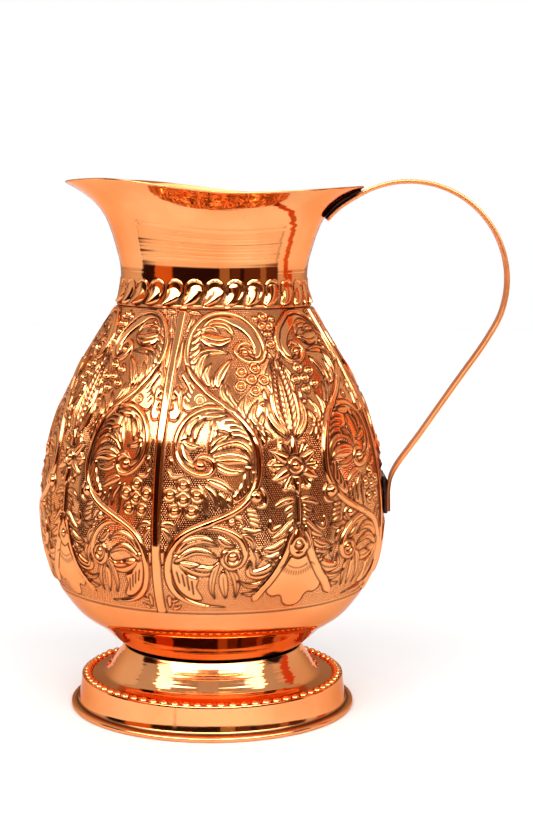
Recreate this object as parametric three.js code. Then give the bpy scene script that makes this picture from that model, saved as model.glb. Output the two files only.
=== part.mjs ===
// A copper water jug in millimetres, +Z up, standing on z = 0.
// It is sheet metal: a pear-shaped bowl, a flared neck with a pouring lip, a hollow
// pedestal foot with a plain band round it, and a flat strap handle, all soldered together.
import * as THREE from "three";

// Driving dimensions
const sheet = 0.9;              // thickness of the copper sheet
const clearance = 0.3;          // gap kept where two pieces are soldered together
const aroundSteps = 64;         // facets round the jug

const bowl = { baseHeight: 19.5, seamRadius: 40.2, seamHeight: 168.8, steps: 18 };
const neck = {
  waistRadius: 38.8, flareRadius: 40.2, flareHeight: 191, steps: 13,
  rimRadius: 61.6, rimHeight: 219, sideRadius: 53, sideHeight: 215, sideAngle: 75,
  lipHalfAngle: 45, lipSideRadius: 58, lipSideHeight: 220, backHeight: 217.6, tilt: 1.2,
};
const foot = {
  waistRadius: 37.6, waistHeight: 25.9, coneRadius: 46.4, ledgeHeight: 13.3,
  bandTopRadius: 55.5, bandFootRadius: 56.8, lipRadius: 60.1, lipThickness: 2.4,
};
const strap = {
  width: 15, thickness: 1.5, cornerRadius: 0.5,
  loopCentre: [80.5, 180], loopRadius: 40.4, loopStart: 112, loopEnd: -35,
  tailEnd: [46.9, 204.6], tailMiddle: [53.9, 210.5], tabTop: [75.2, 100], tabMiddle: [73.9, 94.5], tabBottom: [73.9, 84.2],
};
const upperJoint = { from: 47.8, to: 59.6, width: 13 };

// Colours of the polished copper and of the darker solder
const copper = { color: "#d9783f", roughness: 0.16, metalness: 1 };
const darkSolder = { color: "#3a2318", roughness: 0.5, metalness: 0.8 };

const radians = THREE.MathUtils.degToRad;
const smoothstep = THREE.MathUtils.smoothstep;

// A smooth line through points given as [radius, height], as steps + 1 spaced points.
function smoothLine(points, steps) {
  const places = points.map(([r, z]) => new THREE.Vector3(r, 0, z));
  const curve = new THREE.CatmullRomCurve3(places, false, "centripetal");
  return curve.getSpacedPoints(steps).map((point) => [point.x, point.z]);
}

// The same line moved sideways by distance, to its left as it runs.
function offsetLine(line, distance) {
  return line.map(([r, z], i) => {
    const before = line[Math.max(i - 1, 0)];
    const after = line[Math.min(i + 1, line.length - 1)];
    const dr = after[0] - before[0];
    const dz = after[1] - before[1];
    const length = Math.hypot(dr, dz);
    return [r - (dz / length) * distance, z + (dr / length) * distance];
  });
}

// A turned piece: an outline of [radius, height] points, anticlockwise, spun about Z.
function turned(outline) {
  const points = outline.map(([r, z]) => new THREE.Vector2(r, z));
  if (outline[0][0] > 0) {
    points.push(points[0].clone());
  }
  const geometry = new THREE.LatheGeometry(points, aroundSteps);
  geometry.rotateX(Math.PI / 2);
  return geometry;
}

// A ring whose closed outline changes with the angle round Z.
function ringSolid(outlineAt) {
  const positions = [];
  const indices = [];
  let outlineLength = 0;
  for (let column = 0; column < aroundSteps; column += 1) {
    const angle = (column / aroundSteps) * 2 * Math.PI;
    const outline = outlineAt(angle);
    outlineLength = outline.length;
    outline.forEach(([r, z]) => positions.push(r * Math.cos(angle), r * Math.sin(angle), z));
  }
  for (let column = 0; column < aroundSteps; column += 1) {
    const nextColumn = (column + 1) % aroundSteps;
    for (let row = 0; row < outlineLength; row += 1) {
      const nextRow = (row + 1) % outlineLength;
      const a = column * outlineLength + row;
      const b = nextColumn * outlineLength + row;
      const c = nextColumn * outlineLength + nextRow;
      const d = column * outlineLength + nextRow;
      indices.push(a, b, c, a, c, d);
    }
  }
  const geometry = new THREE.BufferGeometry();
  geometry.setAttribute("position", new THREE.Float32BufferAttribute(positions, 3));
  geometry.setIndex(indices);
  geometry.computeVertexNormals();
  return geometry;
}

// A flat outline of [x, z] points, given depth along Y and centred on y = 0.
function slab(outline, depth) {
  const shape = new THREE.Shape(outline.map(([x, z]) => new THREE.Vector2(x, z)));
  const geometry = new THREE.ExtrudeGeometry(shape, { depth, bevelEnabled: false });
  geometry.rotateX(Math.PI / 2);
  geometry.translate(0, depth / 2, 0);
  return geometry;
}

// The pear shape, from the middle of its closed bottom up to the seam with the neck.
function bowlShell() {
  const outer = smoothLine([
    [0, bowl.baseHeight], [24, 21.2], [37.2, 26.6], [47.6, 35.6], [57.8, 43.8], [69.4, 63.5], [71.8, 87],
    [66.6, 119], [55.8, 142.8], [bowl.seamRadius, bowl.seamHeight],
  ], bowl.steps);
  const inner = offsetLine(outer, sheet);
  inner[0][0] = 0;
  return turned([...outer, ...inner.reverse()]);
}

// Rim radius and height at an angle from the handle. The lip is opposite the handle.
function rimAt(angle) {
  const turn = THREE.MathUtils.radToDeg(Math.acos(Math.cos(angle)));
  const lipStart = 180 - neck.lipHalfAngle;
  const towardsBack = 1 - smoothstep(turn, 0, neck.sideAngle);
  const towardsLip = smoothstep(turn, neck.sideAngle, lipStart);
  const towardsTip = smoothstep(turn, lipStart, 180);
  const radius = neck.sideRadius + (neck.rimRadius - neck.sideRadius) * towardsBack
    + (neck.lipSideRadius - neck.sideRadius) * towardsLip + (neck.rimRadius - neck.lipSideRadius) * towardsTip;
  const height = neck.sideHeight + (neck.backHeight - neck.sideHeight) * towardsBack
    + (neck.lipSideHeight - neck.sideHeight) * towardsLip + (neck.rimHeight - neck.lipSideHeight) * towardsTip;
  return { radius, height: height + neck.tilt * Math.sin(angle) };
}

// The neck's outer line at an angle, from the seam up to the rim.
function neckLine(angle) {
  const rim = rimAt(angle);
  const outward = (rim.radius - neck.flareRadius) / (neck.rimRadius - neck.flareRadius);
  const upward = (rim.height - neck.flareHeight) / (neck.rimHeight - neck.flareHeight);
  const flare = [[44.4, 203.7], [48.6, 210], [54, 214.6], [neck.rimRadius, neck.rimHeight]].map(([r, z]) => [
    neck.flareRadius + (r - neck.flareRadius) * outward,
    neck.flareHeight + (z - neck.flareHeight) * upward,
  ]);
  return smoothLine([
    [bowl.seamRadius, bowl.seamHeight + clearance], [neck.waistRadius, 178.5],
    [neck.waistRadius + 0.1, 185], [neck.flareRadius, neck.flareHeight], ...flare,
  ], neck.steps);
}

function neckShell() {
  return ringSolid((angle) => {
    const outer = neckLine(angle);
    return [...outer, ...offsetLine(outer, sheet).reverse()];
  });
}

// The hollow cone of the foot, with its flat ledge.
function footPedestal() {
  const outer = [
    [foot.bandTopRadius - sheet - clearance, foot.ledgeHeight], [foot.coneRadius + 1.6, foot.ledgeHeight],
    [foot.coneRadius - 1.4, foot.ledgeHeight + 1], [41, 20], [38.6, 23.6], [foot.waistRadius, foot.waistHeight],
  ];
  return turned([...outer, ...offsetLine(outer, sheet).reverse()]);
}

// The plain band round the foot, with the lip turned out and under that the jug stands on.
function footBand() {
  const { bandTopRadius, bandFootRadius, lipRadius, lipThickness, ledgeHeight } = foot;
  const lipCentre = lipRadius - lipThickness / 2;
  const lipRound = [-90, -45, 0, 45, 90].map((turn) => [
    lipCentre + (lipThickness / 2) * Math.cos(radians(turn)),
    (lipThickness / 2) * (1 + Math.sin(radians(turn))),
  ]);
  return turned([
    [bandFootRadius - sheet, 0], ...lipRound, [bandFootRadius + 0.6, lipThickness + 0.1],
    [bandFootRadius, lipThickness + 1], [bandTopRadius, ledgeHeight],
    [bandTopRadius - sheet, ledgeHeight], [bandFootRadius - sheet, lipThickness + 1],
  ]);
}

// A three-sided fillet of solder inside a seam.
function seamFillet(corner, firstLeg, secondLeg) {
  return turned([corner, firstLeg, secondLeg]);
}

// Where the strap's loop starts or ends, and where it leaves in a straight line.
function loopPoint(turn) {
  const [x, z] = strap.loopCentre;
  return [x + strap.loopRadius * Math.cos(radians(turn)), z + strap.loopRadius * Math.sin(radians(turn))];
}

function strapPath() {
  const loopSteps = 9;
  const loop = Array.from({ length: loopSteps + 1 }, (_, i) => {
    return loopPoint(strap.loopStart + (strap.loopEnd - strap.loopStart) * (i / loopSteps));
  });
  const bottom = loop[loopSteps];
  const straight = [0.35, 0.7].map((part) => [
    bottom[0] + (strap.tabTop[0] - bottom[0]) * part,
    bottom[1] + (strap.tabTop[1] - bottom[1]) * part,
  ]);
  const tab = [strap.tabTop, strap.tabMiddle, strap.tabBottom];
  const points = [strap.tailEnd, strap.tailMiddle, ...loop, ...straight, ...tab];
  return new THREE.CatmullRomCurve3(points.map(([x, z]) => new THREE.Vector3(x, 0, z)), false, "centripetal");
}

function handleStrap() {
  const halfWidth = strap.width / 2;
  const halfThickness = strap.thickness / 2;
  const corner = strap.cornerRadius;
  const section = new THREE.Shape([
    [halfWidth, corner - halfThickness], [halfWidth, halfThickness - corner],
    [halfWidth - corner, halfThickness], [corner - halfWidth, halfThickness],
    [-halfWidth, halfThickness - corner], [-halfWidth, corner - halfThickness],
    [corner - halfWidth, -halfThickness], [halfWidth - corner, -halfThickness],
  ].map(([x, y]) => new THREE.Vector2(x, y)));
  return new THREE.ExtrudeGeometry(section, { extrudePath: strapPath(), steps: 70, bevelEnabled: false });
}

// The solder between the flare of the neck and the strap's tail, a little clear of both.
function upperSolder() {
  const { from, to, width } = upperJoint;
  const inJoint = ([x, z]) => x > from && x < to && z > bowl.seamHeight;
  const underFlare = offsetLine(neckLine(0), -clearance - 0.1).filter(inJoint);
  const strapLine = strapPath().getSpacedPoints(120).map((point) => [point.x, point.z]);
  const onStrap = offsetLine(strapLine, strap.thickness / 2 + clearance + 0.1).filter(inJoint);
  const sparse = onStrap.filter((_, i) => i % 3 === 0);
  return slab([...sparse, ...underFlare.reverse()], width);
}

// The solder between the bowl and the strap's tab.
function lowerSolder() {
  return slab([[71.9, 84.6], [72.8, 84.6], [72.8, 93.8], [73.3, 98.2], [71.2, 98.6], [71.9, 93.5]], 13);
}

function piece(name, geometry, finish) {
  const mesh = new THREE.Mesh(geometry, new THREE.MeshStandardMaterial(finish));
  mesh.name = name;
  return mesh;
}

const jug = new THREE.Group();
jug.add(piece("bowl_shell", bowlShell(), copper));
jug.add(piece("neck_shell", neckShell(), copper));
jug.add(piece("neck_seam_solder", seamFillet([38.9, 168.8], [36.4, 170.6], [36.6, 167.6]), darkSolder));
jug.add(piece("foot_pedestal", footPedestal(), copper));
jug.add(piece("foot_band", footBand(), copper));
jug.add(piece("ledge_solder", seamFillet([54.2, 12.1], [52, 12.1], [54.4, 9.9]), darkSolder));
jug.add(piece("foot_seam_solder", seamFillet([36, 24.6], [33, 22.9], [36.8, 22.4]), darkSolder));
jug.add(piece("handle_strap", handleStrap(), copper));
jug.add(piece("upper_handle_solder", upperSolder(), darkSolder));
jug.add(piece("lower_handle_solder", lowerSolder(), darkSolder));

// The origin is under the middle of the whole jug, handle included.
const middle = new THREE.Box3().setFromObject(jug).getCenter(new THREE.Vector3());
jug.position.set(-middle.x, -middle.y, 0);

const model = new THREE.Group();
model.add(jug);

export default model;
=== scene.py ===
import math
import bpy
import numpy as np
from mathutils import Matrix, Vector


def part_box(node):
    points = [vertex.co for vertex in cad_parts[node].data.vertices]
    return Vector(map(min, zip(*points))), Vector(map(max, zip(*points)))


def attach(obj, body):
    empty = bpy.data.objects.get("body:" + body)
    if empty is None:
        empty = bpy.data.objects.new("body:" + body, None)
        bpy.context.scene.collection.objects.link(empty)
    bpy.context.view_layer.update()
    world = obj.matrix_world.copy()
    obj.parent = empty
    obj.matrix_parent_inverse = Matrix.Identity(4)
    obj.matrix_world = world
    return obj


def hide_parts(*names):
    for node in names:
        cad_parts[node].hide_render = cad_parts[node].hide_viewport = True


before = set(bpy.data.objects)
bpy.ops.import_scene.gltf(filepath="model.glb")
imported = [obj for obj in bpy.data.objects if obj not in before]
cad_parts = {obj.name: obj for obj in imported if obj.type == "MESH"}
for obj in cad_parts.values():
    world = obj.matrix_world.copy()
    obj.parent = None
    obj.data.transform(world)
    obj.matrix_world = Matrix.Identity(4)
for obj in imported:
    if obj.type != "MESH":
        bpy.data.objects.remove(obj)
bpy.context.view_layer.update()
mm = 0.001                                             # the sizes below are in millimetres
bandLow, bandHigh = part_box("foot_band")
axis = np.array([(bandLow.x + bandHigh.x) / 2, (bandLow.y + bandHigh.y) / 2, 0])
print("frame loaded, the jug's axis is at", axis.round(5))


def place(points):
    return np.asarray(points, float) * mm + axis       # from the jug's own axis to the frame


# ---- numbers and lines

def smooth(low, high, value):
    part = np.clip((value - low) / (high - low), 0, 1)
    return part * part * (3 - 2 * part)


def between(rise, fall, value):
    # 1 between two soft edges, and 0 outside them
    return smooth(*rise, value) * (1 - smooth(*fall, value))


def splineLine(points, perSpan=8):
    # a smooth line through the points, even where they are unevenly spaced
    knots = np.array(points, float)
    knots = np.vstack([2 * knots[0] - knots[1], knots, 2 * knots[-1] - knots[-2]])
    spans = []
    for before, start, end, after in zip(knots[:-3], knots[1:-2], knots[2:-1], knots[3:]):
        steps = [max(np.linalg.norm(b - a), 1e-6) ** 0.5
                 for a, b in ((before, start), (start, end), (end, after))]
        times = np.cumsum([0] + steps)
        time = np.linspace(times[1], times[2], perSpan, endpoint=False)[:, None]

        def blend(first, second, low, high):
            return ((high - time) * first + (time - low) * second) / (high - low)

        near = blend(before, start, times[0], times[1])
        mid = blend(start, end, times[1], times[2])
        far = blend(end, after, times[2], times[3])
        left = blend(near, mid, times[0], times[2])
        right = blend(mid, far, times[1], times[3])
        spans.append(blend(left, right, times[1], times[2]))
    return np.vstack(spans + [knots[-2:-1]])


def spaced(line, count):
    # the same line as count points an equal way apart
    run = np.concatenate([[0], np.cumsum(np.linalg.norm(np.diff(line, axis=0), axis=1))])
    ways = np.linspace(0, run[-1], count)
    return np.column_stack([np.interp(ways, run, line[:, i]) for i in range(line.shape[1])])


def normals2d(line):
    # unit normals of a line of (radius, height), to the right as it runs
    step = np.gradient(line, axis=0)
    step /= np.linalg.norm(step, axis=1)[:, None]
    return np.column_stack([step[:, 1], -step[:, 0]])


# ---- meshes

def makeMesh(name, points, faces, sharpDegrees=None, attributes=None):
    mesh = bpy.data.meshes.new(name)
    mesh.from_pydata(place(points).tolist(), [], faces)
    mesh.shade_smooth()
    for key, values in (attributes or {}).items():
        layer = mesh.attributes.new(key, "FLOAT", "POINT")
        layer.data.foreach_set("value", np.asarray(values, np.float32).ravel())
    if sharpDegrees:
        mesh.set_sharp_from_angle(angle=math.radians(sharpDegrees))
    made = bpy.data.objects.new(name, mesh)
    bpy.context.scene.collection.objects.link(made)
    return made


def gridFaces(rows, columns, first=0, wrapRows=False, wrapColumns=False):
    row = np.arange(rows if wrapRows else rows - 1)[:, None]
    column = np.arange(columns if wrapColumns else columns - 1)[None, :]
    below, above = row * columns, (row + 1) % rows * columns
    left, right = column, (column + 1) % columns
    corners = [below + left, below + right, above + right, above + left]
    return np.stack([first + corner for corner in corners], axis=-1).reshape(-1, 4)


def cappedTube(name, rings, sharpDegrees=60, attributes=None):
    # rings of points joined into a tube, with a flat face over each end
    rings = np.array(rings)
    rows, columns = rings.shape[:2]
    faces = gridFaces(rows, columns, wrapColumns=True).tolist()
    faces += [list(range(columns))[::-1], list(range((rows - 1) * columns, rows * columns))]
    return makeMesh(name, rings.reshape(-1, 3), faces, sharpDegrees, attributes)


def turned(radius, height, turn):
    return np.stack([radius * np.cos(turn), radius * np.sin(turn), height + 0 * turn], axis=-1)


def spun(outline, columns):
    # rings of points from an outline of (radius, height); the outline runs anticlockwise
    radius, height = np.asarray(outline, float).T[:, :, None]
    return turned(radius, height, np.linspace(0, 2 * np.pi, columns, endpoint=False))


def ringSolid(name, rings, sharpDegrees=40, attributes=None):
    rows, columns = rings.shape[:2]
    faces = gridFaces(rows, columns, wrapRows=True, wrapColumns=True)
    return makeMesh(name, rings.reshape(-1, 3), faces.tolist(), sharpDegrees, attributes)


def roundedOutline(corners, radius, steps=4):
    # a closed outline with each corner rounded
    corners = np.asarray(corners, float)
    outline = []
    for before, corner, after in zip(np.roll(corners, 1, 0), corners, np.roll(corners, -1, 0)):
        into, out = before - corner, after - corner
        reach = min(radius, np.linalg.norm(into) * 0.45, np.linalg.norm(out) * 0.45)
        start = corner + into / np.linalg.norm(into) * reach
        end = corner + out / np.linalg.norm(out) * reach
        for part in np.linspace(0, 1, steps + 1):
            outline.append((1 - part) ** 2 * start + 2 * part * (1 - part) * corner + part ** 2 * end)
    return np.array(outline)


class Growing:
    # one geometry tree with named inputs
    def __init__(self, name):
        self.tree = bpy.data.node_groups.new(name, "GeometryNodeTree")
        for way in ("INPUT", "OUTPUT"):
            self.tree.interface.new_socket("Geometry", in_out=way, socket_type="NodeSocketGeometry")
        self.start = self.tree.nodes.new("NodeGroupInput")
        self.end = self.tree.nodes.new("NodeGroupOutput")
        self.keys = {}

    def inputs(self, kinds):
        for name, kind in kinds.items():
            socket = self.tree.interface.new_socket(name, in_out="INPUT", socket_type=kind)
            self.keys[name] = socket.identifier
        return {name: self.start.outputs[name] for name in kinds}

    def add(self, kind, settings=None, values=None, output=0):
        node = self.tree.nodes.new(kind)
        for key, setting in (settings or {}).items():
            setattr(node, key, setting)
        for key, value in (values or {}).items():
            if isinstance(value, bpy.types.NodeSocket):
                self.tree.links.new(value, node.inputs[key])
            else:
                node.inputs[key].default_value = value
        return node.outputs[output]

    def finish(self, geometry, material):
        real = self.add("GeometryNodeRealizeInstances", values={"Geometry": geometry})
        done = self.add("GeometryNodeSetMaterial", values={"Geometry": real, "Material": material})
        self.tree.links.new(done, self.end.inputs[0])

    def grow(self, name, values, source=None):
        # run the tree once, and keep its result as a plain mesh
        holder = bpy.data.objects.new(name + "Source", source or bpy.data.meshes.new(name + "Source"))
        bpy.context.scene.collection.objects.link(holder)
        modifier = holder.modifiers.new("grow", "NODES")
        modifier.node_group = self.tree
        for key, value in values.items():
            modifier[self.keys[key]] = value
        graph = bpy.context.evaluated_depsgraph_get()
        mesh = bpy.data.meshes.new_from_object(holder.evaluated_get(graph))
        bpy.data.objects.remove(holder)
        mesh.name = name
        made = bpy.data.objects.new(name, mesh)
        bpy.context.scene.collection.objects.link(made)
        return made


def keep(made, node, material=None):
    # the piece rides on the jug, and stands in for its CAD node if it has one
    if material:
        made.data.materials.append(material)
    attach(made, "root")
    if node:
        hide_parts(node)


# ---- materials

class Value:
    # a socket that sums can be done with
    def __init__(self, tree, socket):
        self.tree, self.socket = tree, socket

    def maths(self, operation, *terms):
        node = self.tree.nodes.new("ShaderNodeMath")
        node.operation = operation
        for slot, term in zip(node.inputs, terms):
            join(self.tree, slot, term)
        return Value(self.tree, node.outputs[0])

    def __add__(self, other):
        return self.maths("ADD", self, other)

    def __radd__(self, other):
        return self.maths("ADD", other, self)

    def __sub__(self, other):
        return self.maths("SUBTRACT", self, other)

    def __rsub__(self, other):
        return self.maths("SUBTRACT", other, self)

    def __mul__(self, other):
        return self.maths("MULTIPLY", self, other)

    def __rmul__(self, other):
        return self.maths("MULTIPLY", other, self)

    def __abs__(self):
        return self.maths("ABSOLUTE", self)


def join(tree, slot, value):
    if isinstance(value, Value):
        tree.links.new(value.socket, slot)
    else:
        slot.default_value = value


class Shading:
    # one node tree, and one way to add any node to it
    def __init__(self, owner):
        owner.use_nodes = True
        self.tree = owner.node_tree
        self.tree.nodes.clear()

    def add(self, kind, settings=None, values=None, output=0):
        node = self.tree.nodes.new(kind)
        for key, setting in (settings or {}).items():
            setattr(node, key, setting)
        for key, value in (values or {}).items():
            join(self.tree, node.inputs[key], value)
        return Value(self.tree, node.outputs[output]) if node.outputs else node

    def fade(self, value, low, high):
        # 0 below low, 1 above high, smooth between them
        values = {"Value": value, "From Min": low, "From Max": high}
        return self.add("ShaderNodeMapRange", {"interpolation_type": "SMOOTHSTEP"}, values)

    def mixColour(self, part, first, second):
        first, second = ((*side, 1) if isinstance(side, tuple) else side for side in (first, second))
        return self.add("ShaderNodeMix", {"data_type": "RGBA"}, {0: part, 6: first, 7: second}, output=2)

    def noise(self, scale, detail=2.0, rough=0.5):
        # one scale for all three ways, or one for each
        scales = scale if isinstance(scale, tuple) else (scale,) * 3
        spot = self.add("ShaderNodeTexCoord", output=3)
        spot = self.add("ShaderNodeMapping", values={"Vector": spot, "Scale": scales})
        values = {"Vector": spot, "Scale": 1.0, "Detail": detail, "Roughness": rough}
        return self.add("ShaderNodeTexNoise", values=values)

    def bump(self, height, distance, before=None):
        # surface detail up to a distance in mm, over any that is there already
        values = {"Strength": 1.0, "Distance": distance * mm, "Height": height}
        if before:
            values["Normal"] = before
        return self.add("ShaderNodeBump", values=values)

    def attribute(self, name):
        return self.add("ShaderNodeAttribute", {"attribute_name": name}, output=2)


def linear(red, green, blue):
    # a colour as seen on screen, 0 to 255, as the shader wants it
    parts = [part / 255 for part in (red, green, blue)]
    return tuple(part / 12.92 if part <= 0.04045 else ((part + 0.055) / 1.055) ** 2.4 for part in parts)


copperLook = {
    "clean": linear(243, 163, 104), "rosy": linear(230, 136, 76), "oxide": linear(60, 14, 6),
    # the soot colour is scorch from soldering, and on the strap's tail it is also painted shade
    "sootAndShade": linear(34, 12, 8), "tint": (0.85, 0.55, 0.42, 1), "coat": 0.08, "roughness": (0.05, 0.13),
    "patchScale": 28.0, "speckScale": 620.0, "smudgeScale": 90.0,
    "rippleHeight": 0.02, "rippleSize": 9.0,      # hand planishing, in mm
    "spinStretch": 45,                            # how far a spinning line runs, against its width
}
solderLook = {"dark": linear(22, 10, 8), "light": linear(74, 40, 28), "grainHeight": 0.15}


def copperMaterial(name, spinHeight=0.0, spinPitch=0.6, ripple=1.0, roughness=None):
    # spinning lines of a height and pitch in mm, and a share of the planishing
    look = copperLook
    low, high = roughness or look["roughness"]
    made = bpy.data.materials.new(name)
    shade = Shading(made)
    patches = shade.fade(shade.noise(look["patchScale"], 3.0), 0.35, 0.7)      # drifts of rosier metal
    specks = shade.fade(shade.noise(look["speckScale"], 2.0), 0.66, 0.74)      # tiny spots of tarnish
    hollow = shade.attribute("hollow")
    sootAndShade = shade.attribute("sootAndShade")
    colour = shade.mixColour(patches * 0.8, look["clean"], look["rosy"])
    colour = shade.mixColour(shade.fade(hollow * 0.85 + specks * 0.22, 0.0, 1.0), colour, look["oxide"])
    # darkens scorched spots, and paints shade on the strap tail's jug side
    colour = shade.mixColour(sootAndShade, colour, look["sootAndShade"])
    smudges = shade.fade(shade.noise(look["smudgeScale"], 4.0, 0.6), 0.4, 0.8)
    rough = low + (high - low) * smudges + hollow * 0.3 + sootAndShade * 0.35
    surface = shade.bump(shade.noise(1000.0 / look["rippleSize"], 1.0), look["rippleHeight"] * ripple)
    if spinHeight:
        across = 1000.0 / spinPitch
        along = across / look["spinStretch"]
        surface = shade.bump(shade.noise((along, along, across), 3.0, 0.65), spinHeight, surface)
    shader = shade.add("ShaderNodeBsdfPrincipled", values={
        "Base Color": colour, "Metallic": 1.0, "Roughness": rough, "Normal": surface,
        "Specular Tint": look["tint"], "Coat Weight": look["coat"], "Coat Roughness": 0.04})
    shade.add("ShaderNodeOutputMaterial", values={"Surface": shader})
    return made


def solderMaterial(name):
    made = bpy.data.materials.new(name)
    shade = Shading(made)
    grain = shade.noise(420.0, 4.0, 0.6)
    burnt = shade.fade(shade.noise(160.0, 3.0), 0.35, 0.65)
    shader = shade.add("ShaderNodeBsdfPrincipled", values={
        "Base Color": shade.mixColour(burnt, solderLook["dark"], solderLook["light"]), "Metallic": 0.6,
        "Roughness": 0.34 + 0.25 * burnt, "Normal": shade.bump(grain, solderLook["grainHeight"])})
    shade.add("ShaderNodeOutputMaterial", values={"Surface": shader})
    return made


def floorMaterial():
    made = bpy.data.materials.new("paleTable")
    shade = Shading(made)
    colour = shade.mixColour(shade.noise(3.0, 2.0), table["grey"], table["paleGrey"])
    shader = shade.add("ShaderNodeBsdfPrincipled", values={"Base Color": colour, "Roughness": 0.6})
    shade.add("ShaderNodeOutputMaterial", values={"Surface": shader})
    return made


# ---- camera, lights and floor

camera = {"spot": (74.3, -668.5, 200.6), "down": 6.33, "turn": 4.5, "lean": -0.43, "lens": 71.1}
room = {
    # a dark room in front, seen in the copper; bearings in degrees from straight in front
    "left": -98, "right": 86, "top": 25, "dark": (0.028, 0.010, 0.007),
    "side": (0.86, 0.83, 0.81), "back": (0.42, 0.4, 0.38), "backFrom": (125, 172),
    "near": 18, "nearTone": (1.22, 1.2, 1.14),               # a pale floor, this far below the level
    "dome": (0.62, 0.62, 0.63), "domeFrom": 34,
    # upright strips: bearing, width and tone
    "strips": [(-63, 25, (0.75, 0.21, 0.04)), (53, 62, (0.13, 0.045, 0.02)), (14.5, 12, (0.42, 0.26, 0.13)),
               (36, 5, (0.03, 0.01, 0.01)), (64, 8, (0.4, 0.22, 0.1)), (106, 13, (0.75, 0.13, 0.04))],
    # bright windows: bearing from and to, rise from and to, and light
    "windows": [(-57, -19, 26, 45, 14), (-57, -19, 45, 57, 0.5), (-19, 10, 26, 40, 12),
                (-80, 80, 59, 84, 0.9), (10, 47, 26, 45, 14), (10, 47, 45, 57, 0.5),
                (47, 74, 26, 48, 6), (-76, -57, 26, 48, 6)],
}
softboxes = {
    # spot and aim from the jug's axis, width and height, and watts
    "softboxTop": ((0, 500, 1500), (0, 0, 100), (1300, 900), 9),
}
table = {"side": 1600, "frontRadius": 410, "back": 2600, "thick": 4,
         "grey": (0.63, 0.63, 0.63), "paleGrey": (0.65, 0.65, 0.65)}


def makeCamera():
    lens = bpy.data.cameras.new("camera")
    lens.lens = camera["lens"]
    made = bpy.data.objects.new("camera", lens)
    made.location = place(camera["spot"])
    angles = (90 - camera["down"], camera["lean"], camera["turn"])
    made.rotation_euler = [math.radians(angle) for angle in angles]
    bpy.context.scene.collection.objects.link(made)
    bpy.context.scene.camera = made


def makeSoftboxes():
    for name, (spot, aim, size, watts) in softboxes.items():
        light = bpy.data.lights.new(name, "AREA")
        light.shape = "RECTANGLE"
        light.size, light.size_y = size[0] * mm, size[1] * mm
        light.energy = watts
        made = bpy.data.objects.new(name, light)
        made.location = place(spot)
        back = Vector((place(spot) - place(aim)).tolist())
        made.rotation_euler = back.to_track_quat("Z", "Y").to_euler()
        bpy.context.scene.collection.objects.link(made)


def makeRoom():
    world = bpy.data.worlds.new("studio")
    bpy.context.scene.world = world
    shade = Shading(world)
    toSky = shade.add("ShaderNodeTexCoord", output=0)
    split = shade.add("ShaderNodeSeparateXYZ", values={"Vector": toSky})
    x, y, z = (Value(shade.tree, split.socket.node.outputs[i]) for i in range(3))
    turn = math.radians(camera["turn"])
    toRight = x * math.cos(turn) + y * math.sin(turn)
    toFront = x * math.sin(turn) - y * math.cos(turn)
    bearing = toRight.maths("ARCTAN2", toRight, toFront) * (180 / math.pi)
    rise = z.maths("ARCSINE", z) * (180 / math.pi)
    inFront = shade.fade(bearing, room["left"] - 2, room["left"] + 2)
    inFront = inFront * (1 - shade.fade(bearing, room["right"] - 2, room["right"] + 2))
    around = shade.mixColour(shade.fade(abs(bearing), *room["backFrom"]), room["side"], room["back"])
    colour = shade.mixColour(inFront, around, room["dark"])
    for middle, width, tone in room["strips"]:
        inStrip = 1 - shade.fade(abs(bearing - middle), width / 2 - 0.7, width / 2 + 0.7)
        colour = shade.mixColour(inStrip, colour, tone)
    near = inFront * shade.fade(0 - rise, room["near"] - 3, room["near"] + 2)
    colour = shade.mixColour(near, colour, room["nearTone"])
    above = rise - room["domeFrom"] - inFront * (room["top"] - room["domeFrom"])
    colour = shade.mixColour(shade.fade(above, -2, 2), colour, room["dome"])
    for left, right, low, high, light in room["windows"]:
        inside = 1
        for way, start, end in ((bearing, left, right), (rise, low, high)):
            off = abs(way - (start + end) / 2)
            inside = (1 - shade.fade(off, (end - start) / 2 - 1, (end - start) / 2)) * inside
        colour = shade.mixColour(inside, colour, (light,) * 3)
    seen = shade.add("ShaderNodeBackground", values={"Color": colour})
    backdrop = shade.add("ShaderNodeBackground", values={"Color": (1, 1, 1, 1)})
    toCamera = shade.add("ShaderNodeLightPath", output=0)
    both = shade.add("ShaderNodeMixShader", values={0: toCamera, 1: seen, 2: backdrop})
    shade.add("ShaderNodeOutputWorld", values={"Surface": both})


def makeTable():
    side, reach, back, thick = (table[key] for key in ("side", "frontRadius", "back", "thick"))
    turns = np.radians(np.linspace(180, 360, 61))
    front = [(reach * math.cos(turn), reach * math.sin(turn)) for turn in turns]
    edge = [(-side, 0)] + front + [(side, 0), (side, back), (-side, back)]
    count = len(edge)
    points = [(px, py, pz) for pz in (-thick, 0) for px, py in edge]
    faces = [list(range(count))[::-1], list(range(count, 2 * count))]
    faces += [[i, (i + 1) % count, count + (i + 1) % count, count + i] for i in range(count)]
    made = makeMesh("paleTable", points, faces, 30)
    made.data.materials.append(floorMaterial())


bpy.context.scene.view_settings.view_transform = "Standard"
makeCamera()
makeSoftboxes()
makeRoom()
makeTable()
print("camera, studio and table made")


# ---- the bowl's outline and the relief beaten into it

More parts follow.
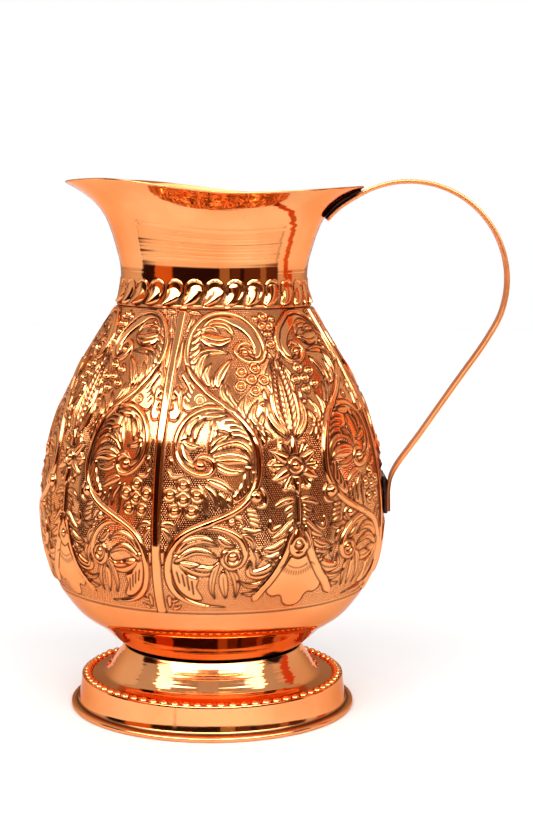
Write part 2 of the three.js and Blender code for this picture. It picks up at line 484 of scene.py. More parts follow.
sheet = 0.9                                                # the copper's thickness
bowl = {
    "outline": [(0, 19.5), (24, 21.2), (37.2, 26.6), (47.6, 35.6), (57.8, 43.8), (69.4, 63.5), (71.8, 87),
                (66.6, 119), (55.8, 142.8), (40.2, 168.8)],
    "reliefFrom": 51.5, "reliefTo": 168.8, "formHeight": 0.75, "lineDepth": 0.28,
    "proud": 0.55, "proudFrom": (28, 44),                      # the plain part below stands this proud
    "ribs": [-90, -16, 74, 172], "handleBearing": 85.5,        # bearings from the front, to the right
    "columns": 177, "rows": 401, "across": 8,                  # fine points, and fine steps to a coarse one
    "driftAcross": 0.7, "driftUp": 0.012, "driftHeight": 0.1,  # how far the hand work strays
    "baseLines": 70, "baseColumns": 240,
}
panelNames = ["bowlPanelLeft", "bowlPanelFront", "bowlPanelHandle", "bowlPanelBack"]
# where the strap's tab lies flat, and the soot round it: half width, lower edge and upper edge
underTab = {"side": (7.5, 9.5), "low": (80, 83), "high": (101, 104)}
tabSoot = {"side": (5, 12), "low": (74, 90), "high": (100, 116)}
dots = {
    "pitch": 0.92, "rowPitch": 0.87, "stray": 0.1, "bareFrom": 0.6,
    "inputs": {"Foot Radius": 0.38 * mm, "Height": 0.2 * mm, "Seed": 11, "Smallest": 0.75},
}


class Meridian:
    # the bowl's outline, with a measure up it in which shapes keep their proportions
    def __init__(self, points):
        line = splineLine(points, 60)
        self.radius, self.height = line[:, 0], line[:, 1]
        step = np.hypot(np.diff(self.radius), np.diff(self.height))
        middle = np.maximum((self.radius[1:] + self.radius[:-1]) / 2, 1e-3)
        self.up = np.concatenate([[0], np.cumsum(step / middle)])
        self.line = line
        self.normals = normals2d(line)

    def upAt(self, height):
        return np.interp(height, self.height, self.up)

    def heightAt(self, up):
        return np.interp(up, self.up, self.height)

    def radiusAt(self, up):
        return np.interp(up, self.up, self.radius)

    def normalAt(self, up):
        return np.column_stack([np.interp(up, self.up, self.normals[:, i]) for i in range(2)])


class Relief:
    # heights over half a panel; across is in degrees from the flower's stalk, and height in mm
    def __init__(self, meridian, low, high, halfWidth=45, columns=330, rows=860):
        self.meridian = meridian
        self.across = np.linspace(-2, halfWidth + 2, columns)
        self.up = np.linspace(meridian.upAt(low), meridian.upAt(high), rows)
        self.x, self.y = np.meshgrid(np.radians(self.across), self.up)
        self.scale = meridian.radiusAt(self.y)
        self.level = np.zeros_like(self.x)
        self.line = np.zeros_like(self.x)                  # chased lines, 0 to 1

    def spots(self, points):
        points = np.array(points, float)
        return np.column_stack([np.radians(points[:, 0]), self.meridian.upAt(points[:, 1])])

    def moved(self, spot, distance, way):
        # the spot a distance in mm away, the way given in radians
        up = self.meridian.upAt(spot[1])
        ring = self.meridian.radiusAt(up)
        return (spot[0] + math.degrees(distance * math.cos(way) / ring),
                float(self.meridian.heightAt(up + distance * math.sin(way) / ring)))

    def around(self, line, reach):
        pad = reach / self.meridian.radiusAt(line[:, 1]).min()
        columns = np.searchsorted(self.x[0], [line[:, 0].min() - pad, line[:, 0].max() + pad])
        rows = np.searchsorted(self.up, [line[:, 1].min() - pad, line[:, 1].max() + pad])
        return slice(rows[0], rows[1]), slice(columns[0], columns[1])

    def measure(self, line, reach):
        # each place's distance in mm from the line, and how far along the line it is
        part = self.around(line, reach)
        x, y = self.x[part], self.y[part]
        best, along = np.full(x.shape, 1e9), np.zeros_like(x)
        span = np.hypot(*np.diff(line, axis=0).T)
        run = 0
        for (fromX, fromY), (toX, toY), length in zip(line[:-1], line[1:], span):
            stepX, stepY = (toX - fromX) / length, (toY - fromY) / length
            way = np.clip((x - fromX) * stepX + (y - fromY) * stepY, 0, length)
            gap = (x - fromX - way * stepX) ** 2 + (y - fromY - way * stepY) ** 2
            along = np.where(gap < best, (run + way) / span.sum(), along)
            best = np.minimum(gap, best)
            run += length
        return part, np.sqrt(best) * self.scale[part], along

    def lay(self, part, height, outside):
        # lay a form over what is there, with a chased line round it
        # outside is the distance past its edge, less than 0 within it
        inside = outside < 0
        self.level[part] = np.where(inside, height + 0.25 * self.level[part], self.level[part])
        self.line[part] = np.where(inside, 0, self.line[part])
        edge = np.exp(-((outside - 0.25) / 0.28) ** 2) * ~inside
        self.line[part] = np.maximum(self.line[part], edge)

    def band(self, points, width, height, start=0.25, end=0.25, flat=0.0):
        # a rounded ribbon; flat below 1 planes its top off
        part, gap, along = self.measure(splineLine(self.spots(points), 7), width)
        half = np.full(gap.shape, width / 2)
        if start:
            half *= smooth(-0.02, start, along)
        if end:
            half *= smooth(-0.02, end, 1 - along)
        body = np.sqrt(np.clip(1 - (gap / np.maximum(half, 0.05)) ** 2, 0, 1))
        if flat:
            body = np.minimum(body / flat, 1)
        self.lay(part, height * body, gap - half)

    def leaf(self, points, width, height, vein):
        part, gap, along = self.measure(splineLine(self.spots(points), 7), width)
        half = width / 2 * np.clip(np.sin(np.pi * along ** 0.75), 0, 1) ** 0.8
        body = np.sqrt(np.clip(1 - (gap / np.maximum(half, 0.05)) ** 2, 0, 1))
        body *= 1 - vein * np.exp(-(gap / 0.32) ** 2)
        self.lay(part, height * body, gap - half)
        if vein:
            inVein = np.exp(-(gap / 0.26) ** 2) * smooth(0.1, 0.3, along) * (gap < half * 0.7)
            self.line[part] = np.maximum(self.line[part], 0.8 * inVein)

    def groove(self, points, width=0.5):
        line = splineLine(self.spots(points), 7) if len(points) > 2 else self.spots(points)
        part, gap, along = self.measure(line, 3 * width)
        ends = np.minimum(smooth(0, 0.15, along), smooth(0, 0.15, 1 - along))
        self.line[part] = np.maximum(self.line[part], ends * np.exp(-(gap / width * 1.5) ** 2))

    def dome(self, spot, radius, height, ring=0.0):
        middle = self.spots([spot])
        part = self.around(middle, radius * 1.6)
        gap = np.hypot(self.x[part] - middle[0, 0], self.y[part] - middle[0, 1]) * self.scale[part]
        inner = radius * 0.55 if ring else radius
        body = height * np.sqrt(np.clip(1 - (gap / inner) ** 2, 0, 1))
        if ring:
            edge = np.clip(1 - ((gap - radius * 0.84) / (radius * 0.18)) ** 2, 0, 1)
            body = np.maximum(body, ring * np.sqrt(edge))
        self.lay(part, body, gap - radius)
        if ring:
            inRing = np.exp(-((gap - radius * 0.6) / (radius * 0.09)) ** 2)
            self.line[part] = np.maximum(self.line[part], inRing)

    def plateau(self, outline, height, edge=0.7):
        line = splineLine(self.spots(outline + outline[:1]), 6)
        part, gap, along = self.measure(line, 2)
        x, y = self.x[part], self.y[part]
        inside = np.zeros(x.shape, bool)
        for (fromX, fromY), (toX, toY) in zip(line[:-1], line[1:]):
            if fromY != toY:
                crosses = (fromY > y) != (toY > y)
                inside ^= crosses & (x < (toX - fromX) * (y - fromY) / (toY - fromY) + fromX)
        self.lay(part, height * np.sqrt(smooth(0, edge, gap)), np.where(inside, -gap, gap))

    def rosette(self, spot, reach, petals, radius, turn):
        for i in range(petals):
            way = math.radians(turn + i * 360 / petals)
            self.dome(self.moved(spot, reach, way), radius, 1.5, ring=1.0)
        self.dome(spot, radius, 1.6, ring=1.1)

    def flower(self, spot, petals, reach, heart):
        # scalloped, ribbed petals with pointed ones between them, round a ringed dome
        middle = self.spots([spot])
        part = self.around(middle, reach * 1.3)
        offX = (self.x[part] - middle[0, 0]) * self.scale[part]
        offY = (self.y[part] - middle[0, 1]) * self.scale[part]
        out, turn = np.hypot(offX, offY), np.arctan2(offY, offX) - np.pi / 2
        sector = 2 * np.pi / petals
        petal = (np.mod(turn, sector) / sector - 0.5) * 2
        end = reach * (0.89 + 0.07 * np.cos(petal * 2 * np.pi))
        side = (0.86 - np.abs(petal)) * sector / 2 * out
        ribs = 0.82 + 0.18 * np.cos(petal / 0.86 * np.pi * 5)
        body = smooth(0, 0.5, side) * smooth(0, 0.5, end - out) * (0.35 + 0.45 * out / reach) * ribs
        body += 0.75 * np.exp(-((end - out - 0.75) / 0.5) ** 2) * (side > 0)
        self.lay(part, body, -np.minimum(end - out, side))
        furrow = (0.5 - 0.5 * np.cos(petal / 0.86 * np.pi * 5)) ** 3 * (out < end - 1.6) * (side > 0.1)
        self.line[part] = np.maximum(self.line[part], 0.85 * furrow)
        point = (np.mod(turn + sector / 2, sector) / sector - 0.5) * 2
        off = np.abs(point) * sector / 2 * out
        half = 0.15 * reach * np.clip(np.sin(np.pi * np.clip(out / reach / 0.98, 0, 1) ** 0.8), 0, 1) ** 0.7
        body = np.sqrt(np.clip(1 - (off / np.maximum(half, 0.05)) ** 2, 0, 1))
        self.lay(part, 1.5 * body, np.maximum(off - half, out - reach * 0.98))
        self.lay(part, np.zeros_like(out), out - heart * 1.15)
        self.dome(spot, heart, 2.0, ring=1.6)

    def finished(self):
        return bowl["formHeight"] * self.level - bowl["lineDepth"] * self.line


# ---- the design: each point is degrees from the flower's stalk, and height

design = {
    # spines and bodies of the scrolls
    "stem": [(38, 147), (34.5, 142.5), (28, 136.8), (21.5, 131.6), (16.5, 126), (13.4, 119.5), (12.2, 112),
             (12.6, 105.5), (14.8, 100), (19, 95.2), (25, 91.6), (31, 88.4), (36.4, 84.6), (39.8, 79.4),
             (41.2, 73), (41, 67), (39.2, 62.2), (35.5, 58.8), (30, 57), (23.5, 56)],
    "upperSpine": [(30, 138.2), (36.2, 144.4), (39, 150), (39.2, 157), (36.4, 162.4), (30.5, 166.4),
                   (23, 167.7), (15.5, 166.8), (8.6, 163), (4.6, 158.4), (3.6, 153.6), (6.2, 149.8),
                   (10.6, 148.7), (15, 150), (17.3, 152.6), (15.6, 155.2), (12, 155.9), (9.6, 154.4)],
    "upperBody": [(31, 139.6), (34.6, 145), (36.2, 151), (36, 157), (33.6, 161.2), (28.6, 164.2),
                  (22.4, 165.2), (15.6, 163.8), (10, 160.6), (7, 157), (6.2, 153.6), (8.4, 151.2),
                  (12, 151.6)],
    "middleSpine": [(20, 130.5), (25.5, 132), (31.2, 131.6), (36.6, 128), (39.4, 121.6), (39.3, 115),
                    (36.4, 110.2), (32, 107.6), (28.2, 108.2), (26.8, 110.8), (27.6, 113.4), (30.2, 114.2),
                    (32.6, 112.6)],
    "middleBody": [(22, 129.6), (27, 129.9), (32, 129), (35.8, 125.8), (37.4, 120.8), (37.2, 115.4),
                   (34.8, 111.6), (31.4, 109.6)],
    "lowerSpine": [(31, 88.3), (26.4, 88), (22, 86), (18.4, 82.2), (17.2, 77.6), (18.6, 73.6), (21.4, 72.6),
                   (23.4, 74.8), (22.9, 78), (20.6, 79.2)],
    "slant": [(2.2, 87.5), (3.8, 80), (5.6, 74), (8.2, 68.5), (12, 63), (14.6, 58.6)],
    # plain raised shapes: outline and height
    "plates": [
        ([(37, 146.5), (40.3, 144.4), (38.6, 141.5), (36.8, 138.8), (38.6, 136.5), (38.8, 133), (37.2, 131),
          (33, 131.6), (28, 133.2), (25, 132.6), (29, 136.8), (33.5, 141.5)], 0.85),
        ([(42.8, 127.6), (43.2, 131), (41.9, 132), (42.6, 134.6), (40.9, 135.8), (42.7, 138), (41.2, 140.2),
          (39.4, 138.6), (39.4, 134), (38.8, 130.4), (40.4, 127.4)], 1.0),
        ([(28, 129.2), (21, 128.8), (16, 124), (13.2, 118), (12.6, 110), (13.6, 104), (17, 99), (20.6, 97.2),
          (21.4, 99.6), (18.6, 104), (17, 109), (17.4, 115), (20.5, 120.6), (24, 123.4), (28, 124)], 0.8),
        ([(40.6, 76), (39.6, 68), (38, 63), (34, 59.6), (31, 59.6), (33, 64.6), (32.2, 68.2), (35.4, 70),
          (36.6, 74), (38, 77.6)], 0.85),
        ([(37.5, 144.6), (33.6, 147.6), (32.8, 152), (33.6, 157), (36.6, 157.6), (38.2, 151)], 0.7),
        ([(2.6, 77), (4.9, 72), (7.4, 69), (9.8, 65), (9.6, 61.8), (7.8, 60), (5.4, 60.3), (4.2, 59.4),
          (3.4, 57), (1.7, 55.3), (-1.7, 55.3), (-3.4, 57), (-4.9, 72), (-2.6, 77)], 0.7),
    ],
    # leaves: the line along each, and its width
    "leaves": [
        # inside the upper scroll
        ([(31.5, 161.6), (26.5, 163), (20.5, 162.2), (17, 158.6)], 3.4),
        ([(34.5, 158.6), (29, 157), (23.5, 156.6), (17.4, 158)], 6.2),
        ([(33.4, 160.8), (29, 161.6), (24, 160.2)], 2.2),
        ([(36.6, 148), (33.4, 151.6), (28.5, 153), (20, 152.6)], 3.2),
        ([(37.4, 150.4), (33.4, 153.8)], 1.6), ([(37.6, 153), (33.4, 156.2)], 1.6),
        ([(37.4, 155.6), (33.4, 158.6)], 1.6), ([(36.8, 158.2), (33.6, 160.8)], 1.6),
        ([(29.5, 139.6), (33, 145), (32.4, 150), (29.6, 152.6)], 3.0),
        ([(28.6, 140), (30.4, 145), (28.6, 149)], 2.6), ([(27, 139.6), (27.8, 144)], 1.6),
        ([(25.6, 139.6), (24.4, 144.6), (19.6, 150.4)], 4.2),
        ([(17.2, 152), (14.4, 153.6), (11, 152.4), (9.6, 150.6)], 2.4),
        # round the berries, and up from the flower
        ([(17, 130), (20.6, 135), (21.6, 141)], 2.6), ([(19.8, 131.4), (23.4, 137), (23.8, 142)], 2.4),
        ([(16, 127.6), (17.4, 132), (15.2, 136.8)], 2.2), ([(14, 121.6), (14.6, 127), (12.6, 133)], 2.6),
        ([(10.4, 118), (10.6, 124), (13.4, 129), (10.4, 135)], 3.4), ([(11, 125.4), (9, 130.6)], 2.2),
        ([(12.2, 125.4), (11.8, 121.2)], 1.2), ([(10.9, 124.4), (9.6, 120)], 1.2),
        ([(9.4, 124.2), (7.2, 121)], 1.2), ([(6.8, 130.6), (6, 126), (3.2, 121)], 3.2),
        ([(1, 120.6), (3.6, 129), (3.6, 139), (0.8, 150.6)], 3.6),
        ([(1.8, 120.6), (6.6, 128), (6.6, 136)], 2.8), ([(5, 137.4), (5.2, 143), (2.6, 149)], 2.4),
        ([(7.4, 134.6), (7.6, 139)], 1.6), ([(0.4, 121), (0.2, 132), (0, 146)], 2.4),
        ([(4.7, 162), (2.6, 158.8), (1.2, 156.8)], 2.4), ([(3.6, 153.6), (2, 151), (0, 150)], 2.0),
        ([(40.4, 160), (38.4, 164.4), (38.6, 167.6)], 2.2),
        ([(41, 167.8), (37, 167.4), (33.4, 166.6)], 1.8), ([(42.4, 146), (42, 152), (41.6, 158)], 1.6),
        # inside the middle scroll
        ([(35.2, 121), (35, 125), (32.4, 128.4)], 2.4), ([(33.2, 119.4), (32.6, 124), (30, 128)], 1.8),
        ([(37.2, 119.8), (34.4, 118), (30.6, 117.6)], 2.6),
        ([(37.4, 118.8), (36.6, 114.6), (33.2, 111.4)], 1.5),
        ([(28.2, 115.6), (27.4, 121), (27, 127.4)], 2.8),
        ([(27.6, 117.6), (25, 121), (22.2, 122.8)], 2.6),
        ([(28.6, 114.4), (24.4, 118.6), (19.6, 119.6), (15.8, 116.6), (14, 109)], 2.6),
        ([(28, 113.2), (22.4, 114.6), (17.6, 113.6), (14.8, 111)], 5.4),
        ([(27.4, 112.2), (22, 109.4), (16.6, 109)], 3.2),
        ([(29.4, 106.4), (24.6, 104.4), (20.8, 100.8)], 3.6),
        ([(29.6, 104), (27, 99.4), (26.6, 94.4)], 2.2), ([(31.6, 104), (29.8, 98), (29.8, 91.6)], 2.0),
        ([(25.4, 101.6), (24.2, 97.4), (24.4, 93.4)], 2.0), ([(23, 99.4), (21.8, 94.8)], 1.8),
        ([(41.8, 109.4), (40.2, 106.8), (36, 107)], 1.4), ([(41, 114), (40.4, 110)], 1.4),
        # between the middle and lower scrolls
        ([(12, 102.4), (10.4, 99), (11.2, 95.6), (14.4, 94.6)], 1.6), ([(17.4, 94.2), (13.6, 93.2)], 1.2),
        ([(17.2, 92.6), (13, 91.2)], 1.2), ([(16.8, 91), (12.6, 89.4)], 1.2),
        ([(16.6, 89.4), (12.8, 87.4)], 1.2), ([(19.4, 87.4), (15.4, 85.6), (11.8, 86.8)], 2.2),
        ([(24.8, 91), (19.8, 91.6), (18.4, 88.8), (20.4, 86.8)], 1.5),
        ([(18.8, 85), (15.6, 82.8), (14.8, 78.6)], 2.4), ([(14.6, 79), (13, 76.2), (13.8, 72.6)], 1.8),
        ([(43.4, 88.6), (40.4, 88.8), (37.6, 86.6)], 1.8), ([(43.2, 87.2), (41, 85), (40.4, 81.4)], 1.8),
        ([(42.8, 80), (42.8, 73)], 1.3),
        # inside the lower scroll
        ([(38.4, 77.6), (35, 82), (29.6, 83.4), (25.4, 81)], 3.4),
        ([(25.6, 84.4), (22.4, 81.4), (20, 80.6)], 2.4),
        ([(38.8, 74.6), (33, 78.8), (28, 78), (24.6, 75.8)], 2.6),
        ([(37.6, 74), (31, 71.4), (27, 71.8), (24.4, 75)], 4.6),
        ([(24.6, 75), (26.8, 70), (27.8, 64), (26.8, 60)], 2.2),
        ([(23, 75), (20.4, 70), (19.8, 65), (20.4, 60)], 2.2),
        ([(23.6, 71.6), (23.8, 66), (23.4, 60)], 3.0), ([(41.4, 60.6), (41.6, 55.4)], 1.4),
        ([(40.6, 57.8), (38, 59.8)], 1.5), ([(40.4, 54.6), (37.8, 56.4)], 1.5),
        # along the slanting band
        ([(0.8, 97.4), (4.6, 97), (8.6, 94.4)], 2.4), ([(1.8, 95.2), (5.4, 92.2)], 1.8),
        ([(1.8, 92.6), (4.6, 89.4)], 1.8), ([(9.8, 90.6), (9.4, 86.4), (5, 88.6)], 2.4),
        ([(1.6, 90), (5, 85.6), (9.8, 82.4)], 3.6), ([(4.4, 82.6), (8, 79.6), (12.6, 79)], 3.0),
        ([(6.2, 77.8), (9, 75.8), (12.6, 76.6)], 2.6),
        ([(6.2, 76), (10, 70.6), (15.4, 70), (15.6, 75)], 4.8),
        ([(7.2, 71), (11, 66), (16, 65), (19.4, 67)], 2.8),
        ([(11.8, 64.2), (15, 61.4), (18.4, 61.6)], 2.2),
    ],
    # chased lines inside the forms
    "hatching": [
        ((24.6, 126.8), (20.4, 127), (18.2, 125.6)), ((23, 125), (19.6, 125.2), (17, 123.6)),
        ((22.2, 123.4), (18.8, 123.4), (15.8, 121.4)), ((21.6, 121.8), (18, 121.2), (15, 119)),
        ((15, 109.6), (14.6, 104.4)), ((16.6, 109.4), (16, 102.4)), ((18, 107.6), (17.4, 100.6)),
        ((19.4, 105), (19, 98.8)), ((38.6, 71.4), (37.6, 65.6)), ((37, 70.6), (36.2, 64.4)),
        ((35.6, 69.6), (34.9, 62.8)), ((34.2, 68), (33.6, 61.2)), ((36.6, 141.2), (34.6, 138.8)),
        ((37.4, 139.6), (35.4, 137.2)), ((37.8, 137.8), (36, 135.6)), ((38, 136), (36.6, 134.2)),
        ((30.4, 129.8), (25, 130.2), (21.4, 128.6)), ((9.6, 76.2), (6.6, 72.8)), ((10.8, 75.6), (8, 71.8)),
        ((24.6, 118.6), (23.8, 116.4)), ((23.4, 119), (22.6, 116.6)), ((22.2, 119.2), (21.4, 116.6)),
        ((21, 119), (20.2, 116.6)), ((36, 126.6), (37.6, 121)), ((37.8, 152), (37.6, 158)),
        ((30, 155.6), (24, 154.6), (19.6, 156)), ((12.6, 164.6), (8, 160.8), (5.6, 156.6)),
        ((35, 160.6), (30, 164.8), (23, 166.4), (16, 165.4)), ((34.6, 72.2), (30.6, 73.6)),
    ],
    # domes: spot, radius, height, and the height of a ring round it
    "domes": [
        ((13.2, 152.4), 1.2, 1.6, 0), ((31, 111), 1.9, 1.9, 0), ((20.6, 76.4), 3.0, 1.3, 1.3),
        ((13.6, 98.8), 2.3, 2.0, 0), ((21.8, 89.8), 1.5, 1.6, 0), ((32, 135), 1.5, 1.4, 1.1),
        ((0, 166), 1.9, 1.5, 1.1), ((5, 165.2), 1.3, 1.2, 0), ((1.8, 162.4), 1.9, 1.4, 1.1),
        ((0.9, 159.4), 1.1, 1.2, 0), ((0, 155.6), 1.9, 1.5, 1.1), ((8.6, 133.6), 0.9, 1.0, 0),
    ],
    "tear": [(0, 88), (1.6, 84.4), (3.2, 80.4), (2.7, 77.2), (0, 75.4), (-2.7, 77.2), (-3.2, 80.4),
             (-1.6, 84.4)],
    "fringe": {"middle": (0, 77.5), "from": 7.4, "to": 9.9, "count": 8, "spread": 56},
}


def beatRelief(relief):
    relief.band([(45, 53.6), (45, 110), (45, 168.6)], 3.6, 1.2, start=0, end=0, flat=0.75)
    for outline, height in design["plates"]:
        relief.plateau(outline, height)
    relief.band(design["upperBody"], 4.8, 1.0, start=0.15, end=0.1, flat=0.8)
    relief.band(design["middleBody"], 4.2, 1.0, start=0.15, end=0.3, flat=0.8)
    for points, width in design["leaves"]:
        relief.leaf(points, width, 0.75 + 0.1 * min(width, 4), vein=0.5 if width > 1.7 else 0)
    for points in design["hatching"]:
        relief.groove(points)
    for key, width in (("upperSpine", 1.9), ("middleSpine", 1.9), ("lowerSpine", 2.2), ("slant", 3.2)):
        relief.band(design[key], width, 1.3, start=0.08, end=0.06, flat=0.8)
    relief.band(design["stem"], 2.5, 1.45, start=0.05, end=0.15, flat=0.8)
    relief.band([(0, 103), (0, 86)], 2.0, 1.2, start=0, end=0.1, flat=0.8)
    for height in np.arange(122.5, 147, 2.2):
        relief.groove([(0.5, height), (2, height + 2.2), (3.7, height + 5.5)], 0.4)
    for spot, radius, height, ring in design["domes"]:
        relief.dome(spot, radius, height, ring)
    relief.plateau(design["tear"], 1.0)
    relief.dome((0, 80.4), 1.3, 1.8, 0)
    relief.rosette((36.6, 98.3), 5.4, 5, 2.7, 90)
    relief.rosette((12.3, 142.6), 4.9, 5, 2.15, 40)
    relief.flower((0, 110.5), 6, 11.8, 3.4)
    fringe = design["fringe"]
    for i in range(fringe["count"]):
        way = math.radians(270 + (i + 0.5) / fringe["count"] * fringe["spread"])
        relief.groove([relief.moved(fringe["middle"], fringe[key], way) for key in ("from", "to")], 0.28)
    turns = np.radians([262, 276, 290, 304, 316])
    relief.groove([relief.moved(fringe["middle"], fringe["from"] - 0.9, turn) for turn in turns], 0.28)


def blurred(field, reach):
    # a plain box average, run twice
    for turnOver in (0, 1, 0, 1):
        field = np.moveaxis(field, turnOver, 0)
        padded = np.concatenate([field[:1]] * (reach + 1) + [field] + [field[-1:]] * reach)
        sums = np.cumsum(padded, axis=0)
        field = (sums[2 * reach + 1:] - sums[:-2 * reach - 1]) / (2 * reach + 1)
        field = np.moveaxis(field, 0, turnOver)
    return field


def sampled(field, rows, columns):
    # values between the field's points
    rows = np.clip(rows, 0, field.shape[0] - 1.001)
    columns = np.clip(columns, 0, field.shape[1] - 1.001)
    row, column = rows.astype(int), columns.astype(int)
    part, over = rows - row, columns - column
    below = field[row, column] * (1 - over) + field[row, column + 1] * over
    above = field[row + 1, column] * (1 - over) + field[row + 1, column + 1] * over
    return below * (1 - part) + above * part


def wander(seed, x, y, size):
    # a slow, repeatable drift between -1 and 1
    random = np.random.default_rng(seed)
    total = 0
    for spin, phase in random.uniform(0, 2 * np.pi, (5, 2)):
        total = total + np.sin((x * np.cos(spin) + y * np.sin(spin)) / size * 2 * np.pi + phase)
    return total / 5


meridian = Meridian(bowl["outline"])


def reliefField():
    relief = Relief(meridian, bowl["reliefFrom"], bowl["reliefTo"])
    beatRelief(relief)
    height = blurred(relief.finished(), 1)
    hollow = np.clip((blurred(height, 5) - height - 0.03) / 0.45, 0, 1)
    hollow = np.maximum(hollow, 1.5 * blurred(relief.line, 1))
    ground = 1 - smooth(0.03, 0.12, blurred((relief.level > 0.02).astype(float), 1))
    # the plain bowl starts at the bottom edge, and the neck's seam is at the top one
    up = (relief.y - relief.up[0]) * relief.scale
    toBase = 1 - smooth(1.2, 2.0, up)
    border = np.exp(-((up - 1.9) / 0.5) ** 2)
    toSeam = smooth(0, 1.2, (relief.up[-1] - relief.y) * relief.scale)
    height = np.maximum(height * smooth(1.4, 2.6, up), bowl["proud"] * toBase) * toSeam
    hollow = np.clip(hollow * smooth(1.0, 3.0, up) + 0.8 * border, 0, 1)
    return relief, height, hollow, ground * smooth(2.4, 3.2, up)


def makePanel(name, index, side, relief, height, hollow, ground, material):
    # half of one panel: side is -1 left of the flower's stalk and 1 right of it
    ribs = bowl["ribs"] + [bowl["ribs"][0] + 360]
    middle, halfWidth = (ribs[index] + ribs[index + 1]) / 2, (ribs[index + 1] - ribs[index]) / 2
    rows, columns, coarse = bowl["rows"], bowl["columns"], bowl["across"]
    across = np.linspace(0, 1, columns)
    up = np.linspace(relief.up[0], relief.up[-1], rows)
    acrossGrid, upGrid = np.meshgrid(across, up)
    # every half is the one design by hand, so each drifts its own way
    seed = 10 * index + side
    free = (1 - acrossGrid) * acrossGrid * 4
    free = free * smooth(0, 0.15, upGrid - up[0]) * smooth(0, 0.1, up[-1] - upGrid)
    drift = wander(100 + 3 * seed, acrossGrid, upGrid, 0.45)
    lift = wander(101 + 3 * seed, acrossGrid, upGrid, 0.5)
    column = acrossGrid * 45 + bowl["driftAcross"] * free * drift
    column = np.interp(column, relief.across, np.arange(len(relief.across)))
    row = (upGrid + bowl["driftUp"] * free * lift - relief.up[0]) / (relief.up[1] - relief.up[0])
    raised = sampled(height, row, column) * (1 + bowl["driftHeight"] * free * drift)
    dark, bare = sampled(hollow, row, column), sampled(ground, row, column)
    if side < 0:
        across = -across[::-1]
        raised, dark, bare, drift = (field[:, ::-1] for field in (raised, dark, bare, drift))
    turn = np.radians(middle + across * halfWidth - bowl["handleBearing"])
    # flat under the strap's tab, and sooty round it
    heights = meridian.heightAt(up)
    fromTab = np.abs(turn) * meridian.radiusAt(up)[:, None]
    flat = (1 - smooth(*underTab["side"], fromTab))
    flat = flat * between(underTab["low"], underTab["high"], heights)[:, None]
    raised = raised * (1 - flat)
    sootAndShade = 1 - smooth(*tabSoot["side"], fromTab + 1.5 * drift)
    sootAndShade = sootAndShade * between(tabSoot["low"], tabSoot["high"], heights)[:, None]
    ring = np.column_stack([meridian.radiusAt(up), heights])
    normal = meridian.normalAt(up)
    outer = turned(ring[:, :1] + raised * normal[:, :1], ring[:, 1:] + raised * normal[:, 1:], turn)
    rowPick, columnPick = np.arange(0, rows, coarse), np.arange(0, columns, coarse)
    back = (ring - sheet * normal)[rowPick]
    inner = turned(back[:, :1], back[:, 1:], turn[columnPick])
    first = rows * columns
    faces = gridFaces(rows, columns).tolist()
    faces += gridFaces(len(rowPick), len(columnPick), first)[:, ::-1].tolist()
    # each edge of the fine front is joined to the coarse back
    fine = np.arange(rows * columns).reshape(rows, columns)
    rough = first + np.arange(inner.shape[0] * inner.shape[1]).reshape(inner.shape[:2])
    edges = [(fine[0], rough[0]), (fine[:, -1], rough[:, -1]),
             (fine[-1, ::-1], rough[-1, ::-1]), (fine[::-1, 0], rough[::-1, 0])]
    for fineEdge, roughEdge in edges:
        for i in range(len(roughEdge) - 1):
            run = fineEdge[i * coarse:(i + 1) * coarse + 1].tolist()
            faces.append([int(roughEdge[i]), int(roughEdge[i + 1])] + run[::-1])
    points = np.concatenate([outer.reshape(-1, 3), inner.reshape(-1, 3)])
    spare = np.zeros(len(points) - first)
    attributes = {key: np.concatenate([field.ravel(), spare])
                  for key, field in (("hollow", dark), ("sootAndShade", sootAndShade))}
    made = makeMesh(name, points, faces, None, attributes)
    markRim(made, np.concatenate([edge[0] for edge in edges]))
    keep(made, "bowl_shell", material)
    return dotSpots(seed, turn, up, outer, bare * (1 - flat))


def dotSpots(seed, turn, up, outer, bare):
    # rows of punched dots on the bare ground, each with the way it faces
    random = np.random.default_rng(500 + seed)
    pitch, stray = dots["pitch"], dots["stray"]
    length = np.concatenate([[0], np.cumsum(np.diff(up) * meridian.radiusAt(up[1:]))])
    spots, ways = [], []
    for i, run in enumerate(np.arange(pitch, length[-1], pitch * dots["rowPitch"])):
        row = np.interp(run, length, np.arange(len(up)))
        upHere = np.interp(row, np.arange(len(up)), up)
        width = abs(turn[-1] - turn[0]) * float(meridian.radiusAt(upHere))
        along = np.arange(pitch * (0.5 + 0.5 * (i % 2)), width - 0.3, pitch)
        along = along + random.uniform(-stray, stray, along.shape)
        rows = row + random.uniform(-2 * stray, 2 * stray, along.shape)
        column = along / width * (len(turn) - 1)
        isBare = sampled(bare, rows, column) > dots["bareFrom"]
        spot = np.column_stack([sampled(outer[..., k], rows, column) for k in range(3)])[isBare]
        side = meridian.normalAt(np.full(len(spot), upHere))
        spots.append(spot)
        ways.append(turned(side[:, 0], side[:, 1], np.arctan2(spot[:, 1], spot[:, 0])))
    return np.concatenate(spots), np.concatenate(ways)


def markRim(made, rim):
    # the sheet's own edges are sharp
    onRim = np.zeros(len(made.data.vertices), bool)
    onRim[rim] = True
    pairs = np.zeros(len(made.data.edges) * 2, np.int32)
    made.data.edges.foreach_get("vertices", pairs)
    sharp = onRim[pairs.reshape(-1, 2)].all(axis=1)
    made.data.edges.foreach_set("use_edge_sharp", sharp)


